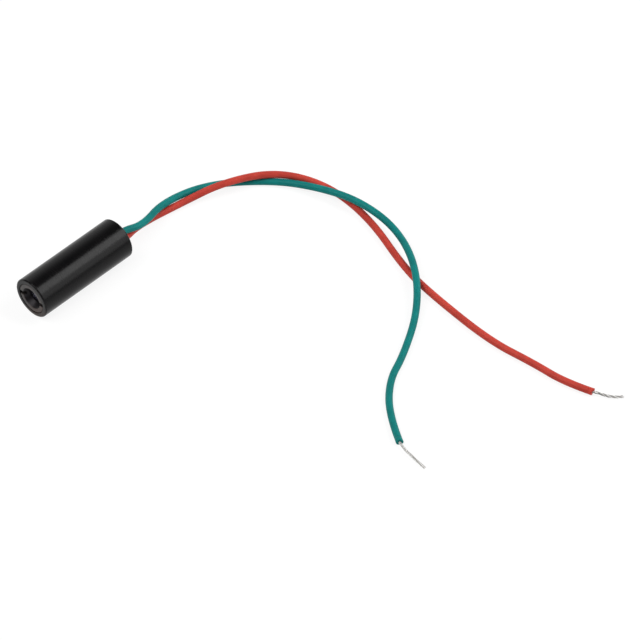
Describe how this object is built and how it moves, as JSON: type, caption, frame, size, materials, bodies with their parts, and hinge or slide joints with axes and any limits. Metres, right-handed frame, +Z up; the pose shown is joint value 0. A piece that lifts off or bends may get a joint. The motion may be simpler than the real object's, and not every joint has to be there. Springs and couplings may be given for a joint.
{
  "type": "laser diode module",
  "caption": "Small black cylindrical laser diode module with a slotted retaining ring over its collimating lens, and a red and a green lead with stripped ends.",
  "frame": {"origin": "on the table under the middle of the barrel, which lies on its side", "axes": "+Z up, the barrel along Y with its lens and beam towards -Y and its leads towards +Y"},
  "size_m": [0.0761, 0.05, 0.0065],
  "materials": {
    "black_barrel": "satin",
    "black_ring": "satin",
    "coated_lens": "polished",
    "gold_plate": "polished",
    "nickel_can": "satin",
    "window_glass": "polished",
    "seal_glass": "gloss",
    "submount_ceramic": "matte",
    "semiconductor": "gloss",
    "board_laminate": "satin",
    "moulded_black": "matte",
    "resistor_black": "satin",
    "capacitor_tan": "satin",
    "solder": "satin",
    "potting_epoxy": "gloss",
    "red_insulation": "satin",
    "green_insulation": "satin",
    "tinned_copper": "satin"
  },
  "bodies": {
    "root": {"barrel": "black_barrel", "retaining_ring": "black_ring", "collimating_lens": "coated_lens", "diode_header": "gold_plate", "diode_cap": "nickel_can", "diode_window": "window_glass", "laser_submount": "submount_ceramic", "laser_chip": "semiconductor", "monitor_photodiode": "semiconductor", "pin_seals": "seal_glass", "laser_pin": "gold_plate", "monitor_pin": "gold_plate", "common_pin": "gold_plate", "driver_board": "board_laminate", "drive_transistor": "moulded_black", "set_resistors": "resistor_black", "filter_capacitor": "capacitor_tan", "solder_joints": "solder", "potting_plug": "potting_epoxy", "red_lead": "red_insulation", "red_lead_tip": "tinned_copper", "red_lead_tail": "tinned_copper", "green_lead": "green_insulation", "green_lead_tip": "tinned_copper", "green_lead_tail": "tinned_copper"}
  },
  "joints": []
}
